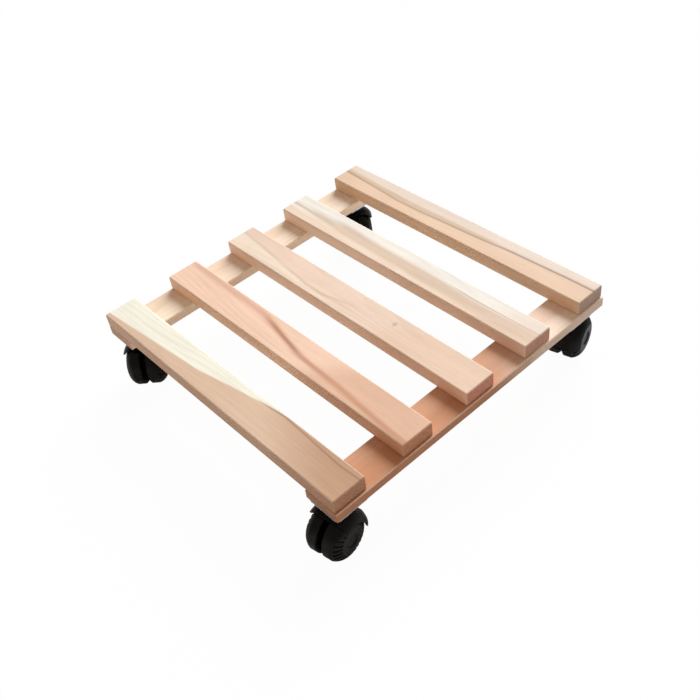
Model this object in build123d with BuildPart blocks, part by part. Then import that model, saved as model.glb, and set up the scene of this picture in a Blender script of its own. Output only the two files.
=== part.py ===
from build123d import *
from math import cos, hypot, radians, sin, sqrt
import os

# Square plant caddy: five slats nailed across two rails, on four swivelling twin-wheel castors.
# The slats lie along X, the rails along Y. The origin is on the floor under the middle of all that
# the caddy takes up: the front castors stand out past the deck, so the deck lies further along +Y.

# Deck
slat_count = 5
slat_length = 300.0
slat_width = 31.0
slat_thickness = 13.0
slat_edge_round = 1.4
slat_end_bevel = 0.7
deck_depth = 302.0  # over the outer edges of the first and the last slat
deck_middle = 6.0  # from the origin along Y
rail_width = 34.0
rail_thickness = 9.0
rail_edge_bevel = 0.8
slat_setback = 2.0  # strip of the right rail left bare beyond the slats' ends

# Nails, two at each crossing, driven up through the rail into the slat
nail_radius = 0.8
nail_length = 18.0
nail_point = 1.6
nail_head_radius = 1.8
nail_head_height = 0.8
nail_step = 11.0  # between the two nails of a crossing, along X and along Y
nail_play = 0.02

# Castors: their height over the wheels, and where their kingpins stand
neck_height = 9.0  # from the top of the wheels to the rail
swivel_offset = 10.0  # from the kingpin's axis to the axle's
front_inset = 16.0  # from the deck's end to the kingpin, along the rail
left_inset = 20.0
right_inset = 28.0
back_inset = 26.0
# Corner: side along X, side along Y, inset, and heading of the axle in degrees from +X
corners = {
    "front": (1, -1, front_inset, 10.0),
    "left": (-1, -1, left_inset, 48.0),
    "right": (1, 1, right_inset, 194.0),
    "back": (-1, 1, back_inset, 54.0),
}

# Wheels
wheel_radius = 20.0
wheel_gap = 5.0  # between the two wheels
wheelset_width = 33.0  # over their outer faces
tread_width = 7.0
tread_corner = 0.8
face_radius = 10.5
dome_rise = 1.8  # how far the domed side stands out from its chord
rim_wall = 2.8
face_wall = 2.6
hub_radius = 4.6
dimple_radius = 6.5
dimple_depth = 0.8
flute_count = 24
flute_depth = 0.7
flute_arc = 7.0
flute_margin = 1.6  # plain band at each end of the flutes

# Axle
axle_radius = 2.0
axle_length = 26.0
axle_bevel = 0.4
running_fit = 0.05
snap_inset = 2.4  # from the end of a pin to the middle of its snap groove
snap_width = 1.2
snap_depth = 0.4
snap_play = 0.2
bore_end_gap = 0.3

# Housing
web_gap = 0.5  # from the web to each wheel
web_hub_radius = 7.0
hood_gap = 1.0
hood_wall = 1.6
hood_skirt_radius = 15.5
hood_start = 16.0  # degrees above the level of the axle, on the kingpin's side
hood_end = 108.0
lip_length = 5.0
boss_radius = 6.5
boss_bevel = 0.6
bore_skin = 0.4
swivel_gap = 0.3

# Mounting plate and kingpin
plate_size = 32.0
plate_thickness = 1.5
plate_corner = 4.0
dish_radius = 8.5
dish_depth = 1.5
dish_slope = 2.1
kingpin_radius = 3.0
kingpin_bevel = 0.4
kingpin_head_radius = 5.0
kingpin_head_height = 1.3
kingpin_head_edge = 0.6

# Plate screws
screw_spacing = 23.0
screw_radius = 1.7
screw_length = 7.6  # below the head
screw_point = 2.2
screw_head_radius = 3.2
screw_head_height = 1.8
screw_head_edge = 0.5
screw_recess_width = 0.9
screw_recess_length = 3.4
screw_recess_depth = 0.9
screw_play = 0.1

# Places that follow from the sizes above
castor_height = 2 * wheel_radius + neck_height  # from the floor to the rail
rail_top = castor_height + rail_thickness
rail_span = slat_length + slat_setback  # over the outer faces of the two rails
slat_pitch = (deck_depth - slat_width) / (slat_count - 1)
slat_rows = [deck_middle + (k - (slat_count - 1) / 2) * slat_pitch for k in range(slat_count)]
slat_start = -rail_span / 2
rail_middle = (rail_span - rail_width) / 2
plate_bottom = castor_height - plate_thickness
dish_bottom = plate_bottom - dish_depth
boss_top = dish_bottom - swivel_gap
inner_face = wheel_gap / 2
outer_face = wheelset_width / 2
tread_edge = inner_face + tread_width
web_half = inner_face - web_gap
axle_middle = (0, -swivel_offset, wheel_radius)
axle_axis = Axis(axle_middle, (1, 0, 0))

# The domed side of a wheel is an arc from the tread's edge to the face. Its centre is kept as a
# distance along the axle and one out from it, so that the hood can follow it at an even gap.
dome_chord = hypot(outer_face - tread_edge, wheel_radius - face_radius)
dome_radius = (dome_chord**2 / 4 + dome_rise**2) / (2 * dome_rise)
dome_sink = (dome_radius - dome_rise) / dome_chord
dome_along = (tread_edge + outer_face) / 2 - dome_sink * (wheel_radius - face_radius)
dome_out = (wheel_radius + face_radius) / 2 - dome_sink * (outer_face - tread_edge)

# The kingpin's bore stops above the room that the wheels need under the hood.
clear_radius = wheel_radius + hood_gap
hood_radius = clear_radius + hood_wall
bore_floor = wheel_radius + sqrt(clear_radius**2 - (swivel_offset - kingpin_radius) ** 2) + bore_skin
boss_foot = wheel_radius + sqrt(clear_radius**2 - (swivel_offset + boss_radius) ** 2)
kingpin_end = bore_floor + bore_end_gap


def dome_point(out, grow=0.0):
    """Point of the domed side at a distance out from the axle, with the dome grown by grow."""
    return (dome_along + sqrt((dome_radius + grow) ** 2 - (out - dome_out) ** 2), out)


def dome_arc(first, last, grow=0.0):
    """Arc of the domed side between two distances out from the axle."""
    return ThreePointArc(*[dome_point(out, grow) for out in (first, (first + last) / 2, last)])


def axle_plane(turn=0.0):
    """Half-plane out from the axle, x along the axle, turned up by turn from the kingpin's side."""
    up = radians(turn)
    return Plane(origin=axle_middle, x_dir=(1, 0, 0), z_dir=(0, -sin(up), cos(up)))


def nail_places():
    """Two nails on a slant at each crossing, so that they don't split one line of grain."""
    return [
        (x + side * nail_step / 2, y + side * nail_step / 2)
        for x in (-rail_middle, rail_middle)
        for y in slat_rows
        for side in (-1, 1)
    ]


def screw_steps():
    """Places of a plate's four screws, from its kingpin."""
    half = screw_spacing / 2
    return [(x, y) for x in (-half, half) for y in (-half, half)]


def pin_outline(radius, end, other_end, bevel, groove_at):
    """Points of a pin's side, from its bevelled end past its snap groove, as radius and height."""
    toward = 1 if other_end > end else -1
    near = groove_at - toward * snap_width / 2
    far = groove_at + toward * snap_width / 2
    neck = radius - snap_depth
    return [
        (radius - bevel, end),
        (radius, end + toward * bevel),
        (radius, near),
        (neck, near),
        (neck, far),
        (radius, far),
        (radius, other_end),
    ]


def bore_outline(radius, floor, mouth, groove_at):
    """Points of a blind bore with the lip that snaps into the pin's groove, as radius and height."""
    toward = 1 if mouth > floor else -1
    half_lip = snap_width / 2 - snap_play
    lip = radius - snap_depth + snap_play
    wall = radius + running_fit
    return [
        (0, floor),
        (wall, floor),
        (wall, groove_at - toward * half_lip),
        (lip, groove_at - toward * half_lip),
        (lip, groove_at + toward * half_lip),
        (wall, groove_at + toward * half_lip),
        (wall, mouth),
    ]


def make_slat(row):
    with BuildPart() as slat:
        with BuildSketch(Plane.YZ.offset(slat_start)):
            with Locations((row, rail_top + slat_thickness / 2)):
                RectangleRounded(slat_width, slat_thickness, slat_edge_round)
        extrude(amount=slat_length)
        chamfer(slat.faces().filter_by(Axis.X).edges(), slat_end_bevel)
        with BuildSketch(Plane.XY.offset(rail_top)):
            with Locations(*[p for p in nail_places() if abs(p[1] - row) < slat_pitch / 2]):
                Circle(nail_radius + nail_play)
        extrude(amount=nail_length - rail_thickness + nail_play, mode=Mode.SUBTRACT)
    return slat


def kingpin_place(side_x, side_y, inset):
    return (side_x * rail_middle, deck_middle + side_y * (deck_depth / 2 - inset))


def make_rail(side):
    nails = [p for p in nail_places() if p[0] * side > 0]
    kingpins = [kingpin_place(*corner[:3]) for corner in corners.values() if corner[0] * side > 0]
    screws = [(across + x, along + y) for across, along in kingpins for x, y in screw_steps()]
    with BuildPart() as rail:
        with BuildSketch(Plane.XY.offset(castor_height)):
            with Locations((side * rail_middle, deck_middle)):
                Rectangle(rail_width, deck_depth)
        extrude(amount=rail_thickness)
        chamfer(rail.edges().filter_by(Axis.Y), rail_edge_bevel)
        with BuildSketch(Plane.XY.offset(castor_height)):
            with Locations(*nails):
                Circle(nail_radius + nail_play)
        extrude(amount=rail_thickness, mode=Mode.SUBTRACT)
        with BuildSketch(Plane.XY.offset(castor_height)):
            with Locations(*nails):
                Circle(nail_head_radius + nail_play)
        extrude(amount=nail_head_height, mode=Mode.SUBTRACT)
        with BuildSketch(Plane.XY.offset(castor_height)):
            with Locations(*screws):
                Circle(screw_radius + screw_play)
        extrude(amount=screw_length - plate_thickness + screw_play, mode=Mode.SUBTRACT)
    return rail


def make_nails():
    with BuildPart() as nail:
        with BuildSketch(Plane.XZ):
            with BuildLine():
                Polyline(
                    (0, 0),
                    (nail_head_radius, 0),
                    (nail_head_radius, nail_head_height),
                    (nail_radius, nail_head_height),
                    (nail_radius, nail_length - nail_point),
                    (0, nail_length),
                    close=True,
                )
            make_face()
        revolve(axis=Axis.Z)
    with BuildPart() as nails:
        with Locations(*[(x, y, castor_height) for x, y in nail_places()]):
            add(nail.part)
    return nails


def make_plate():
    with BuildPart() as plate:
        with BuildSketch(Plane.XY.offset(plate_bottom)):
            RectangleRounded(plate_size, plate_size, plate_corner)
            Circle(dish_radius, mode=Mode.SUBTRACT)
            with Locations(*screw_steps()):
                Circle(screw_radius + screw_play, mode=Mode.SUBTRACT)
        extrude(amount=plate_thickness)
        with BuildSketch(Plane.XZ):
            with BuildLine():
                Polyline(
                    (kingpin_radius, dish_bottom),
                    (dish_radius - dish_slope, dish_bottom),
                    (dish_radius, plate_bottom),
                    (dish_radius, castor_height),
                    (dish_radius - plate_thickness / 2, castor_height),
                    (dish_radius - dish_slope - plate_thickness / 2, dish_bottom + plate_thickness),
                    (kingpin_radius, dish_bottom + plate_thickness),
                    close=True,
                )
            make_face()
        revolve(axis=Axis.Z)
    return plate


def make_kingpin():
    seat = dish_bottom + plate_thickness
    with BuildPart() as kingpin:
        with BuildSketch(Plane.XZ):
            with BuildLine():
                Polyline(
                    (0, kingpin_end),
                    *pin_outline(
                        kingpin_radius, kingpin_end, seat, kingpin_bevel, kingpin_end + snap_inset
                    ),
                    (kingpin_head_radius, seat),
                    (kingpin_head_radius, seat + kingpin_head_height - kingpin_head_edge),
                    (kingpin_head_radius - kingpin_head_edge, seat + kingpin_head_height),
                    (0, seat + kingpin_head_height),
                    close=True,
                )
            make_face()
        revolve(axis=Axis.Z)
    return kingpin


def make_screws():
    head_bottom = plate_bottom - screw_head_height
    edge = plate_bottom - screw_head_edge
    with BuildPart() as screw:
        with BuildSketch(Plane.XZ):
            with BuildLine():
                dome = RadiusArc(
                    (0, head_bottom),
                    (screw_head_radius, edge),
                    -(screw_head_radius**2 + (edge - head_bottom) ** 2) / (2 * (edge - head_bottom)),
                )
                Polyline(
                    dome @ 1,
                    (screw_head_radius, plate_bottom),
                    (screw_radius, plate_bottom),
                    (screw_radius, plate_bottom + screw_length - screw_point),
                    (0, plate_bottom + screw_length),
                    dome @ 0,
                )
            make_face()
        revolve(axis=Axis.Z)
        with BuildSketch(Plane.XY.offset(head_bottom)):
            Rectangle(screw_recess_length, screw_recess_width)
            Rectangle(screw_recess_width, screw_recess_length)
        extrude(amount=screw_recess_depth, mode=Mode.SUBTRACT)
    with BuildPart() as screws:
        with Locations(*screw_steps()):
            add(screw.part)
    return screws


def make_axle():
    with BuildPart() as axle:
        with BuildSketch(axle_plane()):
            with BuildLine():
                half = pin_outline(
                    axle_radius, axle_length / 2, 0, axle_bevel, axle_length / 2 - snap_inset
                )
                right = [(along, out) for out, along in half[:-1]]
                left = [(-along, out) for along, out in reversed(right)]
                Polyline((axle_length / 2, 0), *right, *left, (-axle_length / 2, 0), close=True)
            make_face()
        revolve(axis=axle_axis)
    return axle


def make_wheel():
    """The wheel on the +X side: a domed cup, open towards the web, with a fluted side."""
    bore_end = axle_length / 2 + bore_end_gap
    cap = outer_face - dimple_depth
    bore = bore_outline(axle_radius, bore_end, inner_face, axle_length / 2 - snap_inset)
    flutes = [axle_plane(360 * k / flute_count - flute_arc / 2) for k in range(flute_count)]
    flute_ends = (face_radius + flute_margin, wheel_radius - flute_margin)
    with BuildPart() as wheel:
        with BuildSketch(axle_plane()):
            with BuildLine():
                side = dome_arc(wheel_radius, face_radius)
                Polyline(
                    side @ 1,
                    (outer_face, dimple_radius),
                    (cap, dimple_radius - dimple_depth),
                    (cap, 0),
                    *[(along, out) for out, along in bore],
                    (inner_face, hub_radius),
                    (outer_face - face_wall, hub_radius),
                    (outer_face - face_wall, face_radius),
                    (tread_edge, wheel_radius - rim_wall),
                    (inner_face, wheel_radius - rim_wall),
                    (inner_face, wheel_radius - tread_corner),
                    (inner_face + tread_corner, wheel_radius),
                    side @ 0,
                )
            make_face()
        revolve(axis=axle_axis)
        with BuildSketch(*flutes):
            with BuildLine():
                over = dome_arc(*flute_ends, grow=flute_depth)
                under = dome_arc(*flute_ends, grow=-flute_depth)
                Line(over @ 0, under @ 0)
                Line(over @ 1, under @ 1)
            make_face()
        revolve(axis=axle_axis, revolution_arc=flute_arc, mode=Mode.SUBTRACT)
    return wheel


def make_other_wheel(wheel):
    with BuildPart() as other:
        add(wheel.part)
        mirror(about=Plane.YZ, mode=Mode.REPLACE)
    return other


def make_housing():
    """The moulded body: a domed hood over both wheels, a web between them and the kingpin's boss."""
    room_end = dome_point(hood_skirt_radius, hood_gap)[0]
    with BuildPart() as housing:
        # Sector from the web out to the hood's outer surface
        with BuildSketch(axle_plane(hood_start)) as sector:
            with BuildLine():
                outside = dome_arc(hood_radius, hood_skirt_radius, hood_gap + hood_wall)
                Polyline(outside @ 1, (web_half, hood_skirt_radius), (web_half, 0), (0, 0))
                Polyline((0, 0), (0, hood_radius), outside @ 0)
            make_face()
            mirror(about=Plane.YZ)
        revolve(axis=axle_axis, revolution_arc=hood_end - hood_start)
        # Hub of the web and boss for the kingpin
        with BuildSketch(Plane.YZ.offset(-web_half)):
            with Locations((-swivel_offset, wheel_radius)):
                Circle(web_hub_radius)
        extrude(amount=2 * web_half)
        with BuildSketch(Plane.XY.offset(boss_foot)):
            Circle(boss_radius)
        extrude(amount=boss_top - boss_foot)
        chamfer(housing.edges().group_by(Axis.Z)[-1], boss_bevel)
        # Room for the wheels
        with BuildSketch(axle_plane()) as room:
            with BuildLine():
                inside = dome_arc(clear_radius, hood_skirt_radius, hood_gap)
                Polyline(inside @ 1, (room_end, 0), (web_half, 0), (web_half, clear_radius), inside @ 0)
            make_face()
            mirror(about=Plane.YZ)
        revolve(axis=axle_axis, mode=Mode.SUBTRACT)
        # Visor lip, straight on from the hood's front edge
        with BuildSketch(axle_plane(hood_start)) as lip:
            with BuildLine():
                over = dome_arc(hood_radius, hood_skirt_radius, hood_gap + hood_wall)
                under = dome_arc(clear_radius, hood_skirt_radius, hood_gap)
                Line(over @ 1, under @ 1)
                Polyline(over @ 0, (0, hood_radius), (0, clear_radius), under @ 0)
            make_face()
            mirror(about=Plane.YZ)
        extrude(amount=-lip_length)
        # Bores for the kingpin and the axle
        with BuildSketch(Plane.XZ):
            with BuildLine():
                bore = bore_outline(kingpin_radius, bore_floor, boss_top, kingpin_end + snap_inset)
                Polyline(*bore, (0, boss_top), close=True)
            make_face()
        revolve(axis=Axis.Z, mode=Mode.SUBTRACT)
        with BuildSketch(Plane.YZ.offset(-web_half)):
            with Locations((-swivel_offset, wheel_radius)):
                Circle(axle_radius)
        extrude(amount=2 * web_half, mode=Mode.SUBTRACT)
    return housing


def export(builder, name):
    builder.part.label = name
    export_step(builder.part, f"parts/{name}.step")


def export_copy(master, place, name):
    """A castor's piece, made over the origin, is copied to its place."""
    with BuildPart() as copy:
        with Locations(place):
            add(master.part)
    export(copy, name)


os.makedirs("parts", exist_ok=True)

for number, row in enumerate(slat_rows, start=1):
    export(make_slat(row), f"slat_{number}")
export(make_rail(-1), "left_rail")
export(make_rail(1), "right_rail")
export(make_nails(), "slat_nails")

plate = make_plate()
screws = make_screws()
kingpin = make_kingpin()
housing = make_housing()
axle = make_axle()
wheel = make_wheel()
other_wheel = make_other_wheel(wheel)

for corner, (side_x, side_y, inset, heading) in corners.items():
    post = (*kingpin_place(side_x, side_y, inset), 0)
    export_copy(plate, Location(post), f"{corner}_plate")
    export_copy(screws, Location(post), f"{corner}_screws")
    export_copy(kingpin, Location(post), f"{corner}_kingpin")
    turned = Location(post, (0, 0, heading))
    export_copy(housing, turned, f"{corner}_housing")
    export_copy(axle, turned, f"{corner}_axle")
    export_copy(wheel, turned, f"{corner}_wheel_1")
    export_copy(other_wheel, turned, f"{corner}_wheel_2")
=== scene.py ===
import math

import bpy
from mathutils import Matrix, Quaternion, Vector


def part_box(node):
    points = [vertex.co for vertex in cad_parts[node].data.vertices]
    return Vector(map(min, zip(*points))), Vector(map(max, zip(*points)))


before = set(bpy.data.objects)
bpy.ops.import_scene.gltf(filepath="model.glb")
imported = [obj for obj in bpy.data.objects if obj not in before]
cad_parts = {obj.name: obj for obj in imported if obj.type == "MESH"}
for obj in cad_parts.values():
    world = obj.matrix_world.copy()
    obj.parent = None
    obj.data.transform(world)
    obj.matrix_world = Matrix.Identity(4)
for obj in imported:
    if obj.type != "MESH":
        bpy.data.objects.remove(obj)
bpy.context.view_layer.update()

mm = 0.001

# The camera stands where the photograph was taken from, measured from the middle of the deck's top.
camera_reach = (473.8 * mm, -358.5 * mm, 496.0 * mm)
camera_azimuth = -36.76  # degrees from +X, round the deck
camera_elevation = 42.99
camera_roll = -8.64
camera_lens = 46.71  # millimetres, on a sensor of the width below
sensor_width = 36.0
clip_start = 0.01

# Light: a warm, even sky and one wide, cool lamp from behind the deck
sky_strength = 0.38
sky_tint = (1.0, 0.87, 0.76)
sun_strength = 3.6
sun_tint = (0.88, 0.95, 1.0)
sun_softness = 36  # degrees that the lamp spans
sun_azimuth = 112  # degrees from +X
sun_elevation = 38

# Floor
floor_side = 30.0
floor_white = 0.9
floor_glow = 0.97  # share of the floor that the camera sees as plain white

# Most of a noise's values lie between these two
noise_span = (0.3, 0.7)


def tone(red, green, blue):
    """A colour as a paint chart gives it, 0 to 255, in the linear values that shaders take."""

    def linear(part):
        part = part / 255
        return part / 12.92 if part <= 0.04045 else ((part + 0.055) / 1.055) ** 2.4

    return (linear(red), linear(green), linear(blue), 1.0)


class Finish:
    """A material whose nodes are laid down one after another."""

    def __init__(self, name):
        self.material = bpy.data.materials.new(name)
        self.material.use_nodes = True
        self.tree = self.material.node_tree
        self.tree.nodes.clear()
        self.output = self.tree.nodes.new("ShaderNodeOutputMaterial")

    def node(self, kind, inputs=(), **settings):
        made = self.tree.nodes.new(kind)
        for key, value in settings.items():
            setattr(made, key, value)
        for key, value in dict(inputs).items():
            if isinstance(value, bpy.types.NodeSocket):
                self.tree.links.new(value, made.inputs[key])
            else:
                made.inputs[key].default_value = value
        return made

    def maths(self, operation, first, second=0.0):
        return self.node("ShaderNodeMath", {0: first, 1: second}, operation=operation).outputs[0]

    def between(self, value, low, high, first=0.0, last=1.0):
        """Eases from first to last while the value goes from low to high."""
        inputs = {0: value, 1: low, 2: high, 3: first, 4: last}
        return self.node("ShaderNodeMapRange", inputs, interpolation_type="SMOOTHSTEP").outputs[0]

    def mix(self, share, first, second, blend="MIX"):
        inputs = {0: share, 6: first, 7: second}
        made = self.node("ShaderNodeMix", inputs, data_type="RGBA", blend_type=blend)
        return made.outputs[2]

    def grey(self, value):
        return self.node("ShaderNodeCombineXYZ", {0: value, 1: value, 2: value}).outputs[0]

    def place(self, centre=(0, 0, 0), stretch=(1, 1, 1), turn=(0, 0, 0)):
        """Object coordinates from a centre, turned, then stretched along each direction."""
        coordinates = self.node("ShaderNodeTexCoord").outputs["Object"]
        centred = self.node("ShaderNodeVectorMath", {0: coordinates, 1: centre}, operation="SUBTRACT")
        turned = self.node("ShaderNodeMapping", {"Vector": centred.outputs[0], "Rotation": turn})
        return self.stretched(turned.outputs[0], stretch)

    def stretched(self, vector, amounts):
        return self.node("ShaderNodeVectorMath", {0: vector, 1: amounts}, operation="MULTIPLY").outputs[0]

    def noise(self, vector, scale, detail=2.0, roughness=0.5):
        inputs = {"Vector": vector, "Scale": scale, "Detail": detail, "Roughness": roughness}
        return self.node("ShaderNodeTexNoise", inputs).outputs[0]

    def facing(self, direction):
        """How squarely the surface faces along X, Y or Z, either way."""
        normal = self.node("ShaderNodeTexCoord").outputs["Normal"]
        part = self.node("ShaderNodeSeparateXYZ", {0: normal}).outputs[direction]
        return self.maths("ABSOLUTE", part)

    def surface(self, colour, roughness, height, bump, depth, specular=0.5, metallic=0.0):
        relief = {"Height": height, "Strength": bump, "Distance": depth}
        inputs = {
            "Base Color": colour,
            "Roughness": roughness,
            "Specular IOR Level": specular,
            "Metallic": metallic,
            "Normal": self.node("ShaderNodeBump", relief).outputs[0],
        }
        shader = self.node("ShaderNodeBsdfPrincipled", inputs)
        self.tree.links.new(shader.outputs[0], self.output.inputs["Surface"])
        return self.material


# Wood: how far each pattern is stretched along a board, across it and through it

wander_stretch = (5, 26, 26)
blotch_stretch = (16, 60, 60)
patch_stretch = (7, 45, 45)
fibre_stretch = (9, 620, 620)
pore_stretch = (95, 1500, 1500)
saw_stretch = (0.2, 0.2, 1)
saw_marks = 900.0
end_speckle = 1400.0

# Lines and rings
line_wander = 7 * mm
band_fade = 12 * mm  # half the length over which a band dies out at each of its two points
speck_edge = (0.3, 1.3)  # a speck's softness, as squares of its half-length and half-width
ring_width = 2.6 * mm
ring_wander = 5.6  # rings that the pattern shifts by for one unit of the grain's wander
ring_rise = (0.1, 0.8)  # part of a year in which a ring darkens
ring_fall = (0.86, 0.99)  # part of a year in which it ends

# What each kind of grain leaves of the light, and how deep it lies
blotch_light = (0.955, 1.03)
fibre_light = (0.955, 1.025)
speckle_light = (0.82, 1.08)
saw_light = (0.9, 1.06)
ring_shade = 0.03
ring_tint = 0.07
pore_shade = 0.075
end_ring_shade = 0.22
late_wood = tone(198, 132, 88)
# A painted highlight: the pale tone painted along the boards' rounded edges
edge_highlight_tone = tone(246, 227, 206)
ring_depth = 0.35
pore_depth = 0.5
end_depth = 1.4
wood_roughness = (0.52, 0.66)


def across_line(finish, x, y, line, wobble):
    """Distance across the board from a slanting line, in metres, positive on its +Y side."""
    (x0, y0), (x1, y1) = line
    slope = (y1 - y0) / (x1 - x0)
    rise = finish.maths("MULTIPLY", finish.maths("SUBTRACT", x, x0 * mm), slope)
    level = finish.maths("ADD", rise, y0 * mm)
    return finish.maths("ADD", finish.maths("SUBTRACT", y, level), wobble)


def zone(start, stop, way, soft, shade, strength):
    """A colour on one side of a line, +1 or -1 along Y, with an edge as soft as given."""
    return (start, stop), way, 0, soft, shade, strength


def band(start, stop, half, soft, shade, strength):
    """A colour within a half-width of a line, from its one point to the other."""
    return (start, stop), 0, half, soft, shade, strength


def layer_mask(finish, x, distance, line, way, half, soft):
    if way:
        return finish.between(finish.maths("MULTIPLY", distance, way), -soft * mm, soft * mm)
    start, stop = line[0][0] * mm, line[1][0] * mm
    near = finish.maths("ABSOLUTE", distance)
    mask = finish.between(near, (half - soft) * mm, (half + soft) * mm, 1.0, 0.0)
    mask = finish.maths("MULTIPLY", mask, finish.between(x, start - band_fade, start + band_fade))
    last = finish.between(x, stop - band_fade, stop + band_fade, 1.0, 0.0)
    return finish.maths("MULTIPLY", mask, last)


def speck_mask(finish, x, y, middle_x, middle_y, length, width, strength):
    along_x = finish.maths("DIVIDE", finish.maths("SUBTRACT", x, middle_x * mm), length / 2 * mm)
    across_y = finish.maths("DIVIDE", finish.maths("SUBTRACT", y, middle_y * mm), width / 2 * mm)
    squares = finish.maths("POWER", along_x, 2.0), finish.maths("POWER", across_y, 2.0)
    return finish.between(finish.maths("ADD", *squares), *speck_edge, strength, 0.0)


def growth_rings(finish, x, y, z, wander, pith):
    """Darkening towards the end of each year, round the tree's middle."""
    pith_y, pith_z, pith_slope = pith
    drift = finish.maths("MULTIPLY", x, pith_slope)
    off_y = finish.maths("SUBTRACT", finish.maths("SUBTRACT", y, pith_y * mm), drift)
    off_z = finish.maths("SUBTRACT", z, pith_z * mm)
    squares = finish.maths("POWER", off_y, 2.0), finish.maths("POWER", off_z, 2.0)
    distance = finish.maths("SQRT", finish.maths("ADD", *squares))
    count = finish.maths("DIVIDE", distance, ring_width)
    count = finish.maths("ADD", count, finish.maths("MULTIPLY", wander, ring_wander))
    year = finish.maths("FRACT", count)
    early = finish.between(year, *ring_rise)
    late = finish.between(year, *ring_fall, 1.0, 0.0)
    return finish.maths("MULTIPLY", early, late)


def board_wood(name, centre, along, base, layers, side, end, pith, seed, specks=()):
    """Solid sawn wood: colour zones and streaks, growth rings, fibres, pores and end grain.

    along is 0 for a board that lies along X and 1 for one along Y. Layers and specks are placed in
    millimetres from the board's middle. side is a darker tint on the narrow faces, a painted shade,
    end is the sawn ends' tone, and pith is where the tree's middle lay across the board and how it
    slants.
    """
    wood = Finish(name)
    turn = (0, 0, -math.pi / 2) if along else (0, 0, 0)
    board = wood.place(centre, turn=turn)
    parts = wood.node("ShaderNodeSeparateXYZ", {0: board})
    x, y, z = parts.outputs[0], parts.outputs[1], parts.outputs[2]
    shifted = wood.node("ShaderNodeVectorMath", {0: board, 1: (seed, seed * 0.7, seed * 1.3)})
    start = shifted.outputs[0]

    # Slow wander of the grain, shared by the zones and the rings
    wander = wood.noise(wood.stretched(start, wander_stretch), 1.0, 2.0)
    wander = wood.maths("SUBTRACT", wander, 0.5)
    wobble = wood.maths("MULTIPLY", wander, line_wander)

    colour = base
    for line, way, half, soft, shade, strength in layers:
        distance = across_line(wood, x, y, line, wobble)
        mask = layer_mask(wood, x, distance, line, way, half, soft)
        colour = wood.mix(wood.maths("MULTIPLY", mask, strength), colour, shade)
    for middle_x, middle_y, length, width, shade, strength in specks:
        mask = speck_mask(wood, x, y, middle_x, middle_y, length, width, strength)
        colour = wood.mix(mask, colour, shade)

    patches = wood.noise(wood.stretched(start, patch_stretch), 1.0, 2.0)
    patches = wood.between(patches, 0.38, 0.62, 0.25, 1.0)
    rings = wood.maths("MULTIPLY", growth_rings(wood, x, y, z, wander, pith), patches)
    fibres = wood.noise(wood.stretched(start, fibre_stretch), 1.0, 3.0, 0.6)
    pores = wood.noise(wood.stretched(start, pore_stretch), 1.0, 1.0)
    pores = wood.between(pores, 0.66, 0.74)
    blotches = wood.noise(wood.stretched(start, blotch_stretch), 1.0, 3.0, 0.55)

    light = wood.between(blotches, *noise_span, *blotch_light)
    light = wood.maths("MULTIPLY", light, wood.between(fibres, *noise_span, *fibre_light))
    light = wood.maths("SUBTRACT", light, wood.maths("MULTIPLY", rings, ring_shade))
    light = wood.maths("SUBTRACT", light, wood.maths("MULTIPLY", pores, pore_shade))
    face = wood.mix(1.0, colour, wood.grey(light), "MULTIPLY")
    warm = wood.mix(wood.maths("MULTIPLY", rings, ring_tint), face, late_wood)

    # Painted shade: the narrow sides are tinted a little darker than the faces, for the light they miss
    edge = wood.between(wood.facing(1 - along), 0.55, 0.85)
    warm = wood.mix(edge, warm, wood.mix(1.0, warm, side, "MULTIPLY"))

    # Rounded edges painted paler: a painted highlight along the arrises, varied by the blotches
    rounding = wood.maths("MINIMUM", wood.facing(1 - along), wood.facing(2))
    edge_highlight = wood.between(rounding, 0.3, 0.6)
    edge_highlight = wood.maths("MULTIPLY", edge_highlight, wood.between(blotches, 0.35, 0.6, 0.25, 0.6))
    warm = wood.mix(edge_highlight, warm, edge_highlight_tone)

    # Sawn end grain: darker, with the rings drawn plainly, a rough speckle and the saw's strokes
    speckle = wood.noise(wood.place(), end_speckle, 2.0)
    cut = wood.between(speckle, *noise_span, *speckle_light)
    cut = wood.maths("SUBTRACT", cut, wood.maths("MULTIPLY", rings, end_ring_shade))
    strokes = wood.noise(wood.place(stretch=saw_stretch), saw_marks, 1.0)
    cut = wood.maths("MULTIPLY", cut, wood.between(strokes, 0.35, 0.65, *saw_light))
    sawn = wood.mix(1.0, end, wood.grey(cut), "MULTIPLY")
    ends = wood.between(wood.facing(along), 0.62, 0.86)
    finished = wood.mix(ends, warm, sawn)

    height = wood.maths("ADD", fibres, wood.maths("MULTIPLY", rings, -ring_depth))
    height = wood.maths("SUBTRACT", height, wood.maths("MULTIPLY", pores, pore_depth))
    coarse = wood.maths("MULTIPLY", wood.maths("MULTIPLY", ends, speckle), end_depth)
    height = wood.maths("ADD", height, coarse)
    rough = wood.between(fibres, *noise_span, *wood_roughness)
    return wood.surface(finished, rough, height, 0.35, 0.25 * mm, specular=0.3)


# Each board's side tone is the painted shade on its narrow faces
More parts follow.
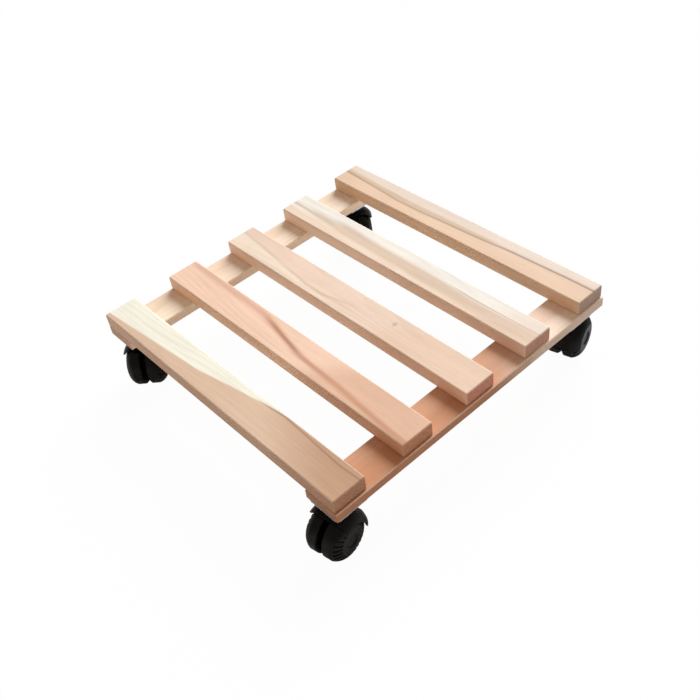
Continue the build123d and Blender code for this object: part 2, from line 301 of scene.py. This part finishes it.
slat_boards = {
    "slat_1": dict(
        base=tone(252, 247, 229),
        layers=[
            zone((-143, -9.4), (-33, -1.4), -1, 1.1, tone(226, 192, 164), 1.0),
            zone((-33, -1.4), (61, 14.6), -1, 1.1, tone(226, 192, 164), 1.0),
            zone((48, 30), (178, -60), 1, 32, tone(197, 154, 122), 0.95),
            band((-143, -9.4), (-33, -1.4), 0.8, 0.8, tone(196, 160, 124), 0.35),
            band((40, 11.2), (66, 14.4), 0.7, 0.6, tone(132, 96, 62), 0.6),
            band((62, 14.4), (130, 10.8), 0.8, 0.7, tone(140, 98, 64), 0.5),
            band((128, 10.8), (165, 12.4), 0.8, 0.7, tone(140, 98, 64), 0.5),
        ],
        side=tone(240, 230, 222),
        end=tone(186, 133, 98),
        pith=(-30, -34, 0.03),
    ),
    "slat_2": dict(
        base=tone(252, 212, 185),
        layers=[
            zone((20, -30), (90, 40), -1, 20, tone(230, 184, 154), 0.9),
            band((-150, 14), (-38, 9), 3.0, 2.6, tone(226, 174, 150), 0.75),
            band((-42, 9), (22, -4), 3.0, 2.6, tone(216, 164, 134), 0.75),
            band((-30, 6.8), (20, -3.2), 1.5, 1.4, tone(158, 100, 68), 0.6),
            band((18, -3.4), (165, -14.4), 2.4, 2.2, tone(204, 146, 112), 0.85),
        ],
        side=tone(252, 246, 238),
        end=tone(194, 134, 94),
        pith=(24, -40, -0.05),
    ),
    "slat_3": dict(
        base=tone(244, 214, 192),
        layers=[
            zone((-143, 4.6), (-45, -7.8), -1, 1.6, tone(252, 231, 210), 0.95),
            zone((-45, -8), (150, -13), -1, 3.0, tone(250, 224, 200), 0.8),
            zone((20, -30), (110, 40), -1, 16, tone(235, 200, 172), 0.7),
            band((-165, 6.8), (-44, -7.6), 1.4, 1.3, tone(204, 176, 150), 0.4),
            band((-48, -7.8), (-20, -7.6), 1.5, 1.4, tone(204, 178, 146), 0.5),
            band((-24, -7.6), (6, -1.6), 1.4, 1.3, tone(210, 180, 152), 0.4),
        ],
        side=tone(255, 247, 243),
        end=tone(206, 138, 112),
        pith=(10, -28, 0.04),
        specks=[
            (53, 5.0, 5.0, 7.0, tone(208, 178, 150), 0.6),
            (54, 4.6, 2.2, 2.2, tone(168, 128, 100), 0.4),
        ],
    ),
    "slat_4": dict(
        base=tone(250, 241, 229),
        layers=[
            zone((-150, -4), (150, -3), -1, 2.2, tone(248, 222, 198), 0.95),
            zone((-40, -22), (150, 0), -1, 5.0, tone(226, 187, 158), 0.5),
            band((-165, 1.4), (-84, -1.6), 1.8, 1.6, tone(208, 188, 164), 0.8),
            band((-122, 0.6), (-84, 0), 4.0, 2.6, tone(216, 192, 168), 0.7),
            band((-88, 0), (165, -5.4), 6.2, 2.6, tone(223, 195, 169), 0.9),
            band((60, 3.6), (165, 2.4), 0.6, 0.5, tone(172, 142, 112), 0.55),
            zone((90, -10), (150, 30), -1, 20, tone(236, 206, 182), 0.5),
        ],
        side=tone(255, 250, 247),
        end=tone(194, 144, 118),
        pith=(-12, -52, -0.02),
    ),
    "slat_5": dict(
        base=tone(238, 217, 200),
        layers=[
            zone((-143, 1.6), (-70, -4.8), -1, 1.6, tone(238, 202, 171), 0.95),
            zone((-63, -4.8), (150, 5), -1, 1.6, tone(238, 202, 171), 0.95),
            band((-165, 4.4), (-58, -1.4), 3.2, 2.0, tone(213, 183, 152), 0.9),
            band((-62, -1.4), (44, 2.2), 3.2, 2.0, tone(213, 183, 152), 0.9),
            band((40, 2.2), (165, 5), 1.8, 1.6, tone(213, 183, 155), 0.7),
            band((-165, 3.2), (-72, -4.6), 1.2, 1.1, tone(152, 112, 76), 0.5),
            band((-76, -4.6), (-44, -4.4), 1.2, 1.1, tone(152, 112, 76), 0.5),
            band((-48, -4.4), (62, 2.8), 1.1, 1.0, tone(148, 106, 74), 0.5),
            band((58, 2.8), (165, 4.4), 0.9, 0.8, tone(122, 90, 62), 0.65),
        ],
        side=tone(240, 233, 224),
        end=tone(184, 154, 134),
        pith=(30, -30, 0.03),
    ),
}
rail_boards = {
    "left_rail": dict(
        base=tone(251, 229, 205),
        layers=[zone((-150, -3), (150, 4), 1, 4, tone(245, 216, 190), 0.7)],
        side=tone(255, 250, 246),
        end=tone(206, 158, 124),
        pith=(12, 40, 0.02),
    ),
    "right_rail": dict(
        base=tone(249, 224, 202),
        layers=[
            zone((26, -40), (76, 40), 1, 56, tone(207, 145, 106), 1.0),
            zone((-150, 5), (150, -4), 1, 5, tone(226, 178, 146), 0.4),
            # Painted shade: a darker patch across the rail that deepens the shadow in front of slat 4
            band((50, -80), (55, 80), 430, 200, tone(178, 121, 88), 0.7),
        ],
        side=tone(224, 218, 216),
        end=tone(190, 140, 108),
        pith=(-20, 44, -0.03),
    ),
}
seed_step = 3.7
rail_seeds = 10  # how far the rails' seeds lie from the slats'


def middle(node):
    low, high = (Vector(corner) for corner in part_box(node))
    return (low + high) / 2


def dress(node, material):
    """Gives a node of the frame its finish."""
    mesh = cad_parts[node].data
    mesh.materials.clear()
    mesh.materials.append(material)


def dress_boards():
    for along, boards in ((0, slat_boards), (1, rail_boards)):
        for seed, (node, board) in enumerate(boards.items(), start=1 + rail_seeds * along):
            centre = middle(node)
            dress(node, board_wood(f"{node}_wood", centre, along, seed=seed * seed_step, **board))


# Castors

flow_tone = tone(15, 16, 17)


def moulded_black(name, dark, gloss, grain):
    """Black moulded nylon: a fine spark-eroded grain, faint flow marks and a soft sheen."""
    plastic = Finish(name)
    fine = plastic.noise(plastic.place(), grain, 3.0, 0.6)
    flow = plastic.noise(plastic.place(stretch=(1, 1, 3)), 70.0, 3.0)
    colour = plastic.mix(plastic.between(flow, 0.35, 0.7, 0.0, 0.5), dark, flow_tone)
    rough = plastic.between(flow, *noise_span, gloss, gloss + 0.12)
    return plastic.surface(colour, rough, fine, 0.18, 0.08 * mm, specular=0.17)


def zinc_steel(name, bright, dull, gloss):
    """Zinc-plated steel with a cloudy surface and faint rub marks."""
    steel = Finish(name)
    cloud = steel.noise(steel.place(), 190.0, 4.0, 0.6)
    rub = steel.noise(steel.place(stretch=(1, 14, 1)), 420.0, 2.0)
    colour = steel.mix(steel.between(cloud, 0.35, 0.65), bright, dull)
    rough = steel.between(cloud, *noise_span, gloss, gloss + 0.16)
    return steel.surface(colour, rough, rub, 0.12, 0.05 * mm, metallic=1.0)


def dress_castors():
    housing = moulded_black("black_housing", tone(5, 5, 6), 0.36, 2600.0)
    wheel = moulded_black("black_wheel", tone(6, 6, 7), 0.34, 3400.0)
    plate = zinc_steel("zinc_plate", tone(198, 200, 204), tone(150, 153, 158), 0.34)
    fastener = zinc_steel("zinc_fastener", tone(190, 188, 178), tone(140, 138, 130), 0.3)
    pin = zinc_steel("turned_pin", tone(176, 178, 182), tone(120, 123, 128), 0.26)
    for corner in ("front", "left", "right", "back"):
        dress(f"{corner}_housing", housing)
        dress(f"{corner}_wheel_1", wheel)
        dress(f"{corner}_wheel_2", wheel)
        dress(f"{corner}_plate", plate)
        dress(f"{corner}_screws", fastener)
        dress(f"{corner}_kingpin", pin)
        dress(f"{corner}_axle", pin)
    dress("slat_nails", fastener)


# Studio

def white_floor():
    """A pale floor that the camera sees as white, with the object's shadow left on it."""
    bpy.ops.object.select_all(action="DESELECT")
    bpy.ops.mesh.primitive_plane_add(size=floor_side, location=(0, 0, 0))
    floor = bpy.context.object
    floor.name = "floor"
    finish = Finish("floor_white")
    matt = finish.node("ShaderNodeBsdfDiffuse", {"Color": (floor_white, floor_white, floor_white, 1)})
    glow = finish.node("ShaderNodeEmission", {"Color": (1, 1, 1, 1), "Strength": 1.0})
    ray = finish.node("ShaderNodeLightPath")
    seen = finish.maths("MAXIMUM", ray.outputs["Is Camera Ray"], ray.outputs["Is Transmission Ray"])
    share = finish.maths("MULTIPLY", seen, floor_glow)
    mixed = finish.node("ShaderNodeMixShader", {0: share, 1: matt.outputs[0], 2: glow.outputs[0]})
    finish.tree.links.new(mixed.outputs[0], finish.output.inputs["Surface"])
    floor.data.materials.append(finish.material)


def soft_sky():
    """Even, warm light from all round; the camera sees it as plain white."""
    world = bpy.data.worlds.new("studio")
    bpy.context.scene.world = world
    world.use_nodes = True
    tree = world.node_tree
    tree.nodes.clear()
    output = tree.nodes.new("ShaderNodeOutputWorld")
    sky = tree.nodes.new("ShaderNodeBackground")
    seen = tree.nodes.new("ShaderNodeLightPath").outputs["Is Camera Ray"]
    strength = tree.nodes.new("ShaderNodeMapRange")
    strength.inputs["To Min"].default_value = sky_strength
    strength.inputs["To Max"].default_value = 1.0
    tint = tree.nodes.new("ShaderNodeMix")
    tint.data_type = "RGBA"
    tint.inputs[6].default_value = (*sky_tint, 1)
    tint.inputs[7].default_value = (1, 1, 1, 1)
    tree.links.new(seen, tint.inputs[0])
    tree.links.new(tint.outputs[2], sky.inputs["Color"])
    tree.links.new(seen, strength.inputs["Value"])
    tree.links.new(strength.outputs[0], sky.inputs["Strength"])
    tree.links.new(sky.outputs[0], output.inputs["Surface"])


def direction(azimuth, elevation):
    """Unit vector out from the object towards an azimuth and an elevation in degrees."""
    turn, rise = math.radians(azimuth), math.radians(elevation)
    level = math.cos(rise)
    return Vector((level * math.cos(turn), level * math.sin(turn), math.sin(rise)))


def far_lamp():
    lamp = bpy.data.lights.new("far_lamp", "SUN")
    lamp.energy = sun_strength
    lamp.color = sun_tint
    lamp.angle = math.radians(sun_softness)
    holder = bpy.data.objects.new("far_lamp", lamp)
    bpy.context.scene.collection.objects.link(holder)
    holder.rotation_mode = "QUATERNION"
    holder.rotation_quaternion = (-direction(sun_azimuth, sun_elevation)).to_track_quat("-Z", "Y")


def photo_camera():
    back = direction(camera_azimuth, camera_elevation)
    low, high = (Vector(corner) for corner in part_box("slat_3"))
    deck_top = Vector(((low.x + high.x) / 2, (low.y + high.y) / 2, high.z))
    lens = bpy.data.cameras.new("photo_camera")
    lens.lens = camera_lens
    lens.sensor_width = sensor_width
    lens.clip_start = clip_start
    camera = bpy.data.objects.new("photo_camera", lens)
    bpy.context.scene.collection.objects.link(camera)
    camera.location = deck_top + Vector(camera_reach)
    camera.rotation_mode = "QUATERNION"
    roll = Quaternion((0, 0, 1), math.radians(camera_roll))
    camera.rotation_quaternion = (-back).to_track_quat("-Z", "Y") @ roll
    bpy.context.scene.camera = camera


photo_camera()
soft_sky()
far_lamp()
white_floor()
dress_boards()
dress_castors()
bpy.context.scene.view_settings.view_transform = "Standard"
